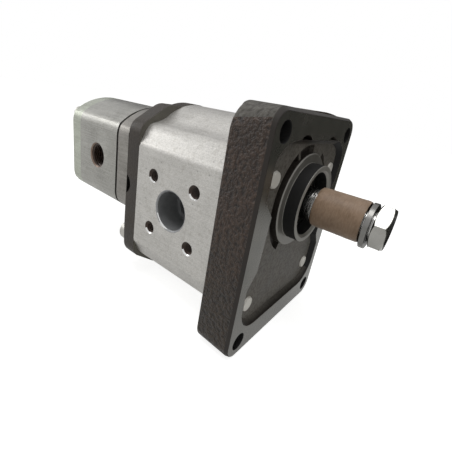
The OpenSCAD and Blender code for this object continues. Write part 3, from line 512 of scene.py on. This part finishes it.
def body_finish(face):
    """The finish of a face of the main body."""
    c = face.calc_center_median() / MM
    n = face.normal
    behind_face = abs(c.y) < port_face_y - 0.05
    in_gear_bore = min(off_axis(c), off_axis(c, 2 * body_mid_z)) < gear_bore_r
    if behind_face and abs(c.y) > port_face_y - 20 and from_port(c) > mouth_r and abs(n.y) < 0.3 \
            and abs(c.z - body_mid_z) < 30 and abs(c.x - port_x) < 30:
        return thread_paste_and_shade
    if 0.3 < abs(n.y) < 0.95 and abs(c.z - body_mid_z) < 26 and abs(c.y) > port_face_y - 0.9:
        # Screw countersinks: bright on the lower half as painted highlight, dark brown above as painted
        # shade
        if from_port(c) > mouth_r:
            return lit_chamfer if n.z > 0.3 else thread_paste_and_shade
        # Inlet chamfer: bright at its lower left as painted highlight, bore finish elsewhere as painted
        # shade
        return lit_chamfer if n.z > 0.3 and n.x > 0.1 else bore_cut
    if behind_face and from_port(c) < mouth_r or in_gear_bore:
        return bore_cut
    return body_skin


bm = copy_of("main_body")
soften_shoulders(bm, body_back_x, body_front_x, body_mid_z)
round_edges(bm, countersink, lambda e: on_port_face(e) and mouth_r <= from_port(middle(e)) < screw_reach,
            40, 1)
round_edges(bm, mouth_chamfer, lambda e: on_port_face(e) and from_port(middle(e)) < mouth_r, 40, 1)
paint(bm, body_finishes, body_finish)
weld_normals(as_piece(bm, "pump_body", body_finishes, ["main_body"], smooth=38))
# The same skin runs on over the step that the flange has for the body, so that no joint shows up to the
# flange itself
flange.data.materials.append(body_skin)
for face in flange.data.polygons:
    on_step = body_front_x < face.center.x / MM < flange_back_x
    if on_step and abs(face.normal.x) < 0.3 and off_axis(face.center / MM, body_mid_z) > outline_reach:
        face.material_index = len(flange_finishes)

# Threads of the main ports' screw holes: cut with a tap in the body itself, four round the inlet and four
# round the outlet, brown from assembly paste and darkened as painted shade. Each starts below its
# countersink.
thread_start = 1
thread_depth = 0.62
for name, side, half in (("inlet_threads", -1, inlet_half_square),
                         ("outlet_threads", 1, outlet_half_square)):
    bm = bmesh.new()
    for sx in (-1, 1):
        for sz in (-1, 1):
            mouth = Vector((port_x + sx * half, side * (port_face_y - thread_start), body_mid_z + sz * half))
            thread_ridge(bm, mouth, Vector((0, -side, 0)), Vector((1, 0, 0)), screw_r,
                         screw_r - thread_depth, screw_pitch, screw_depth)
    bmesh.ops.recalc_face_normals(bm, faces=bm.faces)
    as_piece(bm, name, [thread_paste_and_shade])

# Gears and shafts: case-hardened steel, hobbed and ground, so bright and slightly oily. The driving pair
# turns in bushes in both bearing blocks, and the drive shaft's tapered end stands out of the flange.


def dress(material, *names):
    """Gives CAD nodes whose shape is already right their material."""
    for name in names:
        for material_slot in nodes[name].material_slots:
            material_slot.material = material


# Gears: ground all over and wet with oil, a clear grey mirror
ground_steel = machined_metal("ground steel, oiled", "#a4a3a1", "#b4b3b0", 0.24)
# Shaft's end: coarser turned rings that break its mirror into many small glints in the dark bore
shaft_steel = machined_metal("drive shaft, turned bright", "#c2c1be", "#d0cfcc", 0.2,
                             groove_mm=0.14, cut=0.9)
dress(shaft_steel, "main_drive_shaft")
dress(ground_steel, "main_driven_gear", "rear_drive_gear", "rear_driven_gear")

# Bearing blocks: figure-eight blocks of die-cast aluminium, turned to a sliding fit in the bodies. Each
# pair of gears runs between two of them, and the oil's pressure holds them against the gears' sides.

# Turned casting: a warm light grey with fine rings
block_metal = machined_metal("turned die-cast aluminium", "#b1aca3", "#bdb8ae", 0.38)
dress(block_metal, "main_front_block", "main_rear_block", "rear_front_block", "rear_rear_block")

# Bushes: strip of bronze on a steel back, rolled into rings and pressed into the bearing blocks. The shafts
# turn in them, so their bores are smooth.

# Rolled bronze: yellow brown with a soft shine
bush_bronze = machined_metal("rolled bronze strip", "#a5793f", "#b48649", 0.34)
dress(bush_bronze, "main_bushes", "rear_bushes")

# Seals: rings of nitrile rubber, moulded to the shape of their grooves. They lie on the bearing blocks,
# round the bodies' ends and between the two sections, so none of them shows from outside.


def moulded_rubber(name, low, high, roughness=0.55):
    """Moulded nitrile rubber: near black, dull, with a bloom of grease."""
    bloom_mm = 3
    mat, place = new_material(name)
    cloud = add(mat, "TexNoise", None, {"Vector": place, "Scale": per(bloom_mm), "Detail": 4.0})
    bump = add(mat, "Bump", None, {"Strength": 0.15, "Distance": 0.03 * MM, "Height": cloud.outputs["Fac"]})
    tone = add(mat, "ValToRGB", None, {"Fac": cloud}, {noise_low: low, noise_high: high})
    shader = add(mat, "BsdfPrincipled", None,
                 {"Base Color": tone, "Roughness": roughness, "Normal": bump, "IOR": 1.52})
    return finish_material(mat, shader)


# Rubber: near black and dull
nitrile = moulded_rubber("nitrile rubber, moulded", "#131312", "#1f1e1c")
dress(nitrile, "main_block_seals", "main_body_seals", "stage_seal", "housing_seal", "rear_block_seals",
      "rear_body_seals")

# Backup rings: white filled plastic, machined to the same shape as the block seals. They lie behind the
# seals in the same grooves and keep them from being squeezed out.


def filled_plastic(name, low, high):
    """Machined filled plastic: ivory and waxy, with a soft sheen."""
    cloud_mm = 2
    mat, place = new_material(name)
    cloud = add(mat, "TexNoise", None, {"Vector": place, "Scale": per(cloud_mm), "Detail": 3.0})
    bump = add(mat, "Bump", None, {"Strength": 0.1, "Distance": 0.02 * MM, "Height": cloud.outputs["Fac"]})
    tone = add(mat, "ValToRGB", None, {"Fac": cloud}, {noise_low: low, noise_high: high})
    shader = add(mat, "BsdfPrincipled", None,
                 {"Base Color": tone, "Roughness": 0.42, "Normal": bump, "IOR": 1.38})
    return finish_material(mat, shader)


# Plastic: ivory white and waxy
backup_white = filled_plastic("filled white plastic", "#d8d3c2", "#e6e1d1")
dress(backup_white, "main_backup_rings", "rear_backup_rings")

# Dowels: hollow pins of drawn steel tube, sawn to length. Each lies half in one part and half in the next
# and lines them up before the bolts go in.

# Drawn tube: plain middle grey
dowel_steel = machined_metal("drawn steel tube", "#8b8b8a", "#999997", 0.3)
dress(dowel_steel, "main_dowels", "rear_dowels")

# Intermediate plate: grey iron, cast and oiled like the flange but with a finer skin, and ground on both
# joint faces. It closes the main body at the back, takes the rear bolts' threads and has a half-round
# pocket in each side.
plate_front_x = -106
plate_back_x = -119
plate_round = 1.0
plate_front_round = 0.5
pocket_z = -17
pocket_r = 9
pocket_in_y = 42
pocket_out_y = 52.3
thin_y = 40
thin_low_z = -60
thin_high_z = 15
# Plate skin: finer sand than the flange, so an even brown black
plate_skin = cast_iron("fine sand-cast iron, oiled", "#2d2721", "#38312a", 1.2, 0.16, "#cfcac4", (0.4, 0.52))
# Joint faces: ground flat, a middle grey with little shine
plate_face = milled_iron("ground iron joint face", "#59564f", "#656259", 0.5, 0.3)
plate_finishes = [plate_skin, plate_face, black_painted_shade]


def plate_edge(edge):
    """Outer edges of the plate, without those beside the pockets, whose thin walls would not stand a
    rounding."""
    at = middle(edge)
    by_pocket = abs(at.y) > thin_y and thin_low_z < at.z < thin_high_z
    return off_axis(at, body_mid_z) > outline_reach and not by_pocket


def plate_finish(face):
    """The finish of a face of the plate: near black painted shade in the pockets, ground on both joint
    faces, else cast.
    """
    c = face.calc_center_median() / MM
    # Pockets: near black, painted shade
    if pocket_in_y < abs(c.y) < pocket_out_y and abs(c.z - pocket_z) < pocket_r:
        return black_painted_shade
    return plate_face if abs(face.normal.x) > 0.9 else plate_skin


bm = copy_of("intermediate_plate")
round_edges(bm, plate_round,
            lambda e: middle(e).x < plate_back_x + 0.3 and along(e, 0) < 0.5 and plate_edge(e), 35, 3)
round_edges(bm, plate_front_round, lambda e: middle(e).x > plate_front_x - 0.3 and plate_edge(e), 35, 2)
paint(bm, plate_finishes, plate_finish)
weld_normals(as_piece(bm, "intermediate_plate_casting", plate_finishes, ["intermediate_plate"],
                      smooth=34))

# Tie bolts: cold-headed steel, zinc-plated, with socket heads behind the plate, the upper two sunk in it.
# They run through the main body into the flange, and their ends show in its recess as pale discs.
bolt_tip_x = -3.5
bolt_tip_round = 0.25
bolt_head_round = 0.6
bolt_tip_out = 0.7
# Heads and washers: worn zinc, a soft grey metal shine
zinc_steel = machined_metal("zinc-plated steel", "#a5a39e", "#b2b0aa", 0.38, 0.8, 0.85)
# Bolts' ends: rough and unpolished, so pale and almost without a mirror
bolt_end = machined_metal("zinc-plated bolt end, rolled rough", "#d6d3cb", "#e0ddd5", 0.5, 0.8, 0.25)
bm = copy_of("main_bolts")
round_edges(bm, bolt_tip_round, lambda e: middle(e).x > bolt_tip_x - 0.2, 25, 2)
round_edges(bm, bolt_head_round, lambda e: middle(e).x < plate_back_x + 8 and along(e, 0) < 0.5, 50, 2)
for v in bm.verts:
    if v.co.x > (bolt_tip_x - 0.1) * MM:
        v.co.x += bolt_tip_out * MM
paint(bm, [zinc_steel, bolt_end],
      lambda f: bolt_end if f.calc_center_median().x > (bolt_tip_x - 0.6) * MM else zinc_steel)
weld_normals(as_piece(bm, "tie_bolts", [zinc_steel, bolt_end], ["main_bolts"], smooth=34))

# Coupling housing: sawn from the rear section's own extrusion, and bored for the splined coupling. It
# stands between the plate and the rear body, and a dark seam is left where it meets the rear body.
housing_back_x = -153.5
housing_round = 0.4
housing_bore_r = 24
seam_x = housing_back_x + 2.4
rear_half_w = 40
rear_mid_z = -11
rear_corner_y = 37
rear_corner_up = 27.4
rear_corner_top = 33.35
rear_corner_ease = 5.4
# Housing skin: the dullest of the three extrusions, brownish with oil
housing_skin = extruded_aluminium("extruded aluminium, oil-stained", "#8b8883", "#989590", 0.9, 0.4, 0.3,
                                  "#efefef")
# Seam: a nearly black line of dirt and oil
seam_dark = milled_iron("oily seam", "#24211e", "#302c28", 0.5)


def ease_corners(bm):
    """Starts the corners of the rear outline lower, so that they turn slowly from the side and then into
    the crown."""
    for v in bm.verts:
        up = abs(v.co.z / MM - rear_mid_z)
        if abs(v.co.y) / MM > rear_corner_y and rear_corner_up - 0.6 < up < rear_corner_top:
            left = (rear_corner_top - up) / (rear_corner_top - rear_corner_up)
            v.co.z -= math.copysign(min(1, left) * rear_corner_ease * MM, v.co.z / MM - rear_mid_z)


def housing_finish(face):
    """Dark in the seam's groove, else the extrusion's skin."""
    in_seam = housing_back_x - 0.1 < face.calc_center_median().x / MM < seam_x
    return seam_dark if in_seam and abs(face.normal.x) < 0.9 else housing_skin


bm = copy_of("coupling_housing")
ease_corners(bm)
round_edges(bm, housing_round,
            lambda e: along(e, 0) < 0.5 and abs(middle(e).y) > housing_bore_r
            and middle(e).x > housing_back_x + 1, 40, 2)
paint(bm, [housing_skin, seam_dark], housing_finish)
weld_normals(as_piece(bm, "coupling_housing_block", [housing_skin, seam_dark],
                      ["coupling_housing"]))

# Splined coupling: a sleeve of steel, broached inside and blackened. It lies in the coupling housing and
# joins the main drive shaft to the rear one.

# Black oxide: nearly black, with a satin sheen; in the nut's bore it is painted shade
black_oxide_and_shade = machined_metal("black-oxide steel, painted shade in the nut", "#2b2a2a", "#363534", 0.38)
dress(black_oxide_and_shade, "drive_coupling")

# Rear body: a smaller length of the same kind of extrusion, drawn shiny. Its two ports are threaded
# straight into it, and the four rear bolts run through it.
rear_port_x = -183.25
rear_port_depth = 13
rear_inlet_r = 10.25
rear_inlet_pitch = 1.81
rear_outlet_r = 8.25
rear_outlet_pitch = 1.34
rear_thread_start = 1.6
# Rear skin: the shiniest extrusion, with clear drawn streaks
rear_skin = extruded_aluminium("extruded aluminium, drawn shiny", "#9f9e99", "#abaaa5", 0.8, 0.38, 0.3,
                               "#eaeaea")
# Threaded ports: cut metal, brown with oil
rear_cut = machined_metal("tapped aluminium, oil-stained", "#6e5d52", "#837266", 0.35, 0.5, 0.6)


def rear_finish(face):
    """Cut metal in the ports, else the extrusion's skin."""
    c = face.calc_center_median() / MM
    in_port = math.hypot(c.x - rear_port_x, c.z - rear_mid_z) < rear_inlet_r + 1.2
    return rear_cut if abs(c.y) < rear_half_w - 0.05 and in_port else rear_skin


bm = copy_of("rear_body")
ease_corners(bm)
paint(bm, [rear_skin, rear_cut], rear_finish)
weld_normals(as_piece(bm, "rear_pump_body", [rear_skin, rear_cut], ["rear_body"]))
for name, side, r, pitch in (("rear_inlet_thread", -1, rear_inlet_r, rear_inlet_pitch),
                             ("rear_outlet_thread", 1, rear_outlet_r, rear_outlet_pitch)):
    bm = bmesh.new()
    mouth = Vector((rear_port_x, side * (rear_half_w - rear_thread_start), rear_mid_z))
    thread_ridge(bm, mouth, Vector((0, -side, 0)), Vector((1, 0, 0)), r, r - 0.6 * pitch, pitch,
                 rear_port_depth - 2, 48)
    bmesh.ops.recalc_face_normals(bm, faces=bm.faces)
    as_piece(bm, name, [thread_paste_and_shade])

# Rear end cover: an aluminium plate of the same outline, sawn, milled and chromated. It closes the rear
# body and takes the washers of the rear bolts.
cover_edge_x = -226
cover_round = 0.9
cover_holes_in = 60
# Chromate: a dull pale yellow green
cover_skin = extruded_aluminium("chromated aluminium", "#abafa3", "#b9bdb1", 1.0, 0.4, 0.3, "#f0f0f0")
bm = copy_of("rear_end_cover")
ease_corners(bm)
round_edges(bm, cover_round, lambda e: middle(e).x < cover_edge_x and along(e, 0) < 0.5
            and abs(middle(e).y) + abs(middle(e).z) > cover_holes_in, 40, 3)
weld_normals(as_piece(bm, "rear_cover_plate", [cover_skin], ["rear_end_cover"]))

# Rear bolts and their washers: socket bolts in zinc-plated steel, the same as the tie bolts but thinner.
# They run through the whole rear section and screw into the intermediate plate.
rear_head_x = -227
rear_head_round = 0.5
bm = copy_of("rear_bolts")
round_edges(bm, rear_head_round, lambda e: middle(e).x < rear_head_x and along(e, 0) < 0.5, 50, 2)
weld_normals(as_piece(bm, "rear_socket_bolts", [zinc_steel], ["rear_bolts"], smooth=34))
dress(zinc_steel, "rear_bolt_washers")

# Shaft seal, its retaining ring and the shaft's key: a rubber-covered ring with its lip on the shaft,
# pressed into the flange's bore and held by a ring of spring steel. The key lies in the taper, under the
# sleeve.

# Seal face: rubber browned by oil
seal_brown = moulded_rubber("rubber seal face", "#1c1612", "#2c231c", 0.4)
dress(seal_brown, "shaft_seal")
# Phosphate: a dark grey coat with a faint sheen
spring_steel = machined_metal("phosphated spring steel", "#3b3a38", "#4a4946", 0.34)
dress(spring_steel, "seal_retaining_ring", "shaft_key")

# Protective sleeve: a tube of waxed brown paper, wound in a spiral and slid over the taper for the journey.
# It is a little out of round, with soft crushed ends and the winding's low ridge.
sleeve_start_x = 9.5
sleeve_end_x = 38
sleeve_r = 12.82
sleeve_wall = 1.1
sleeve_turns = 1.4
ridge_h = 0.16
# The ridge's half width as a share of a turn
ridge_w = 0.02
dent_h = 0.12
dent_len = 6
lip_drop = 0.3
# How many rows of points the soft ends take
lip_rows = 1.5
around = 96
lengthways = 44


def waxed_paper(name, low, high):
    """Waxed kraft paper: dull brown, mottled where the wax lies thick, with short fibres round the tube.
    Real fibres are about 0.03 mm thick, so they are drawn at 0.7 mm."""
    wax_mm = 7
    fibre_mm = 0.7
    mat, place = new_material(name)
    stain = add(mat, "TexNoise", None,
                {"Vector": place, "Scale": per(wax_mm), "Detail": 5.0, "Roughness": 0.65})
    round_tube = add(mat, "Mapping", None, {"Vector": place, "Scale": (1, 0.25, 0.25)})
    fibre = add(mat, "TexNoise", None, {"Vector": round_tube, "Scale": per(fibre_mm), "Detail": 2.0})
    mottle = add(mat, "ValToRGB", None, {"Fac": stain}, {0.32: low, 0.68: high})
    fibres = add(mat, "ValToRGB", None, {"Fac": fibre}, {noise_low: "#ece8e2", noise_high: "#ffffff"})
    tone = add(mat, "Mix", multiply, {"Factor": 1.0, 6: mottle, 7: fibres}).outputs[2]
    bump = add(mat, "Bump", None, {"Strength": 0.4, "Distance": 0.08 * MM, "Height": fibre.outputs["Fac"]})
    rough = add(mat, "MapRange", None, {"Value": stain.outputs["Fac"], "To Min": 0.42, "To Max": 0.62})
    shader = add(mat, "BsdfPrincipled", None,
                 {"Base Color": tone, "Roughness": rough, "Normal": bump, "IOR": 1.45, "Sheen Weight": 0.15})
    return finish_material(mat, shader)


def sleeve_radius(x, a, u):
    """The paper's outer radius at a place x, an angle a and a share u of its length."""
    wave = noise.noise(Vector((x / dent_len, math.cos(a) * 2, math.sin(a) * 2)))
    turn = (a / (2 * math.pi) + u * sleeve_turns) % 1
    ridge = ridge_h * max(0, 1 - abs(turn - 0.5) / ridge_w)
    lip = min(1, min(u, 1 - u) * lengthways / lip_rows)
    return sleeve_r - dent_h + dent_h * wave + ridge - lip_drop * (1 - lip)


# Paper: warm brown and dull, a little darker in its hollows
kraft = waxed_paper("waxed kraft paper tube", "#816a54", "#9b836d")
bm = bmesh.new()
inner_r = sleeve_r - sleeve_wall + 0.02
outer = []
inner = []
for i in range(lengthways + 1):
    u = i / lengthways
    x = sleeve_start_x + (sleeve_end_x - sleeve_start_x) * u
    outer.append([])
    inner.append([])
    for k in range(around):
        a = 2 * math.pi * k / around
        for row, r in ((outer[-1], sleeve_radius(x, a, u)), (inner[-1], inner_r)):
            row.append(bm.verts.new((x * MM, r * math.cos(a) * MM, r * math.sin(a) * MM)))
strips = [*zip(outer, outer[1:]), *zip(inner[1:], inner), (inner[0], outer[0]), (outer[-1], inner[-1])]
for first, second in strips:
    for k in range(around):
        n = (k + 1) % around
        bm.faces.new((first[k], first[n], second[n], second[k]))
bmesh.ops.recalc_face_normals(bm, faces=bm.faces)
as_piece(bm, "paper_sleeve", [kraft], ["shaft_sleeve"], "drive_train", 50)

# Spring washer and nut: bright zinc-plated steel. The washer is a split ring, and the nut is cold-formed
# with chamfered corners. They hold the sleeve on for the journey, and later the coupling on the taper.
nut_corner_r = 11
nut_thread_r = 9
nut_round = 0.3
washer_round = 0.35
# Nut: the brightest plating, with hard white and dark flats
bright_zinc = machined_metal("bright zinc plating", "#8f8e8a", "#9a9995", 0.24, 1.2)
# Washer: duller and darker than the nut
washer_zinc = machined_metal("spring washer, zinc-plated", "#6d6c69", "#7a7977", 0.34, 1.0)
bm = copy_of("shaft_washer")
round_edges(bm, washer_round, None, 50, 2)
weld_normals(as_piece(bm, "spring_washer", [washer_zinc], ["shaft_washer"], "drive_train", 40))
bm = copy_of("shaft_nut")
round_edges(bm, nut_round, lambda e: off_axis(middle(e)) > nut_corner_r, 20, 2)
# The nut's bore and inner chamfer: near black, painted shade
paint(bm, [bright_zinc, black_oxide_and_shade],
      lambda f: black_oxide_and_shade if off_axis(f.calc_center_median() / MM) < nut_thread_r else bright_zinc)
weld_normals(as_piece(bm, "hexagon_nut", [bright_zinc, black_oxide_and_shade], ["shaft_nut"],
                      "drive_train", 34))

# Table: a plain white laminate top that the flange's lower edge stands on. It glows a little, so that it
# reads as white to the camera and keeps only a soft shadow of the pump.
table_half = 4.0
table_z = cad_box[0][2] - 0.1 * MM


def board(name, corners, material, only_mirrored=False):
    """A flat four-cornered board in the room, which isn't part of the pump."""
    mesh = bpy.data.meshes.new(name)
    mesh.from_pydata(corners, [], [(0, 1, 2, 3)])
    mesh.materials.append(material)
    made = bpy.data.objects.new(name, mesh)
    bpy.context.scene.collection.objects.link(made)
    if only_mirrored:
        made.visible_camera = False
        made.visible_diffuse = False
        made.visible_shadow = False
        made.visible_transmission = False


# Laminate: an even matt white
table_white = new_material("white laminate")[0]
path = add(table_white, "LightPath")
mirrored = add(table_white, "Math", {"operation": "MULTIPLY"}, {0: path.outputs["Is Glossy Ray"], 1: 0.45})
glow = add(table_white, "Math", multiply_add, {0: path.outputs["Is Camera Ray"], 1: 0.8, 2: mirrored})
matt = add(table_white, "BsdfDiffuse", None, {"Color": "#c9c9c7"})
light_up = add(table_white, "Emission", None, {"Color": "#ffffff", "Strength": glow})
finish_material(table_white, add(table_white, "AddShader", None, {0: matt, 1: light_up}))
board("table", [(-table_half, -table_half, table_z), (table_half, -table_half, table_z),
                (table_half, table_half, table_z), (-table_half, table_half, table_z)], table_white)

# Dark card: painted card that stands behind the pump on the flange's side and shows only as a reflection.
# It makes the milled rim go dark above the height of the shaft and leaves it bright below.
card_at = Vector((0.118, 0.221, 0))
card_half_w = 0.42
card_low = table_z + 1 * MM
card_high = 0.16


def matt_paint(name, low, high, cloud_mm):
    """Matt paint: one flat tone, very slightly clouded."""
    mat, place = new_material(name)
    cloud = add(mat, "TexNoise", None, {"Vector": place, "Scale": per(cloud_mm)})
    tone = add(mat, "ValToRGB", None, {"Fac": cloud}, {noise_low: low, noise_high: high})
    return finish_material(mat, add(mat, "BsdfDiffuse", None, {"Color": tone}))


# Card: dark grey, no shine
card_dark = matt_paint("black card", "#4a4a45", "#53534e", 60)
across = Vector((card_at.y, -card_at.x, 0)).normalized() * card_half_w
near_end = card_at - across
far_end = card_at + across
board("dark_card", [(near_end.x, near_end.y, card_low), (far_end.x, far_end.y, card_low),
                    (far_end.x, far_end.y, card_high), (near_end.x, near_end.y, card_high)], card_dark, True)

# Grey wall: the painted far side of the room, which leans back a little and is seen only in the metal. It
# takes the glare off the tops of the two bodies.
wall_high = 0.85
# Wall: middle grey, no shine
wall_grey = matt_paint("grey wall", "#7c7c80", "#868689", 200)
board("grey_wall", [(-1.1, 0.25, card_low), (-0.2, 0.55, card_low), (-0.2, 1.0, wall_high),
                    (-1.3, 0.62, wall_high)], wall_grey, True)

# Light: an even white room, one soft box low at the left front, which lights the corner of the main body,
# and a panel overhead, which lights the nut's upper flat.
room_light = 0.42
box_at = Vector((-0.94, -0.50, 0.40))
box_aim = Vector((-0.07, 0, 0))
panel_at = Vector((-0.04, -0.21, 0.9))


def soft_lamp(name, width, height, watts, at, turn):
    """An even rectangle of light."""
    light = bpy.data.lights.new(name, "AREA")
    light.shape = "RECTANGLE"
    light.size = width
    light.size_y = height
    light.energy = watts
    lamp = bpy.data.objects.new(name, light)
    lamp.location = at
    lamp.rotation_euler = turn
    bpy.context.scene.collection.objects.link(lamp)


room = bpy.data.worlds.new("white room")
bpy.context.scene.world = room
room.use_nodes = True
path = add(room, "LightPath")
seen = add(room, "Math", {"operation": "MAXIMUM"},
           {0: path.outputs["Is Camera Ray"], 1: path.outputs["Is Glossy Ray"]})
level = add(room, "MapRange", None, {"Value": seen, "To Min": room_light, "To Max": 1.0})
sky = room.node_tree.nodes["Background"]
sky.inputs["Color"].default_value = linear("#ffffff")
room.node_tree.links.new(level.outputs[0], sky.inputs["Strength"])
soft_lamp("soft box", 0.5, 0.36, 2.0, box_at, (box_aim - box_at).to_track_quat("-Z", "Y").to_euler())
soft_lamp("top panel", 0.5, 0.5, 4, panel_at, (0, 0, 0))

# Camera: at the photograph's place, close to the shaft's end and a little above it, with a wide lens. Its
# place, its turn and its lens were worked out from the flange's holes and edges.
camera_at = Vector((0.06441, -0.1792, 0.05208))
right = Vector((0.769, 0.619, 0.1599)).normalized()
ahead = Vector((-0.5477, 0.7668, -0.3346)).normalized()
lens = bpy.data.cameras.new("camera")
lens.sensor_width = 36
lens.lens = 23.199
lens.shift_x = 0.0055
lens.shift_y = -0.0428
lens.clip_start = 0.01
camera = bpy.data.objects.new("camera", lens)
turn = Matrix((right, right.cross(ahead), -ahead)).transposed().to_4x4()
camera.matrix_world = Matrix.Translation(camera_at) @ turn
bpy.context.scene.collection.objects.link(camera)
bpy.context.scene.camera = camera
bpy.context.scene.view_settings.view_transform = "Standard"
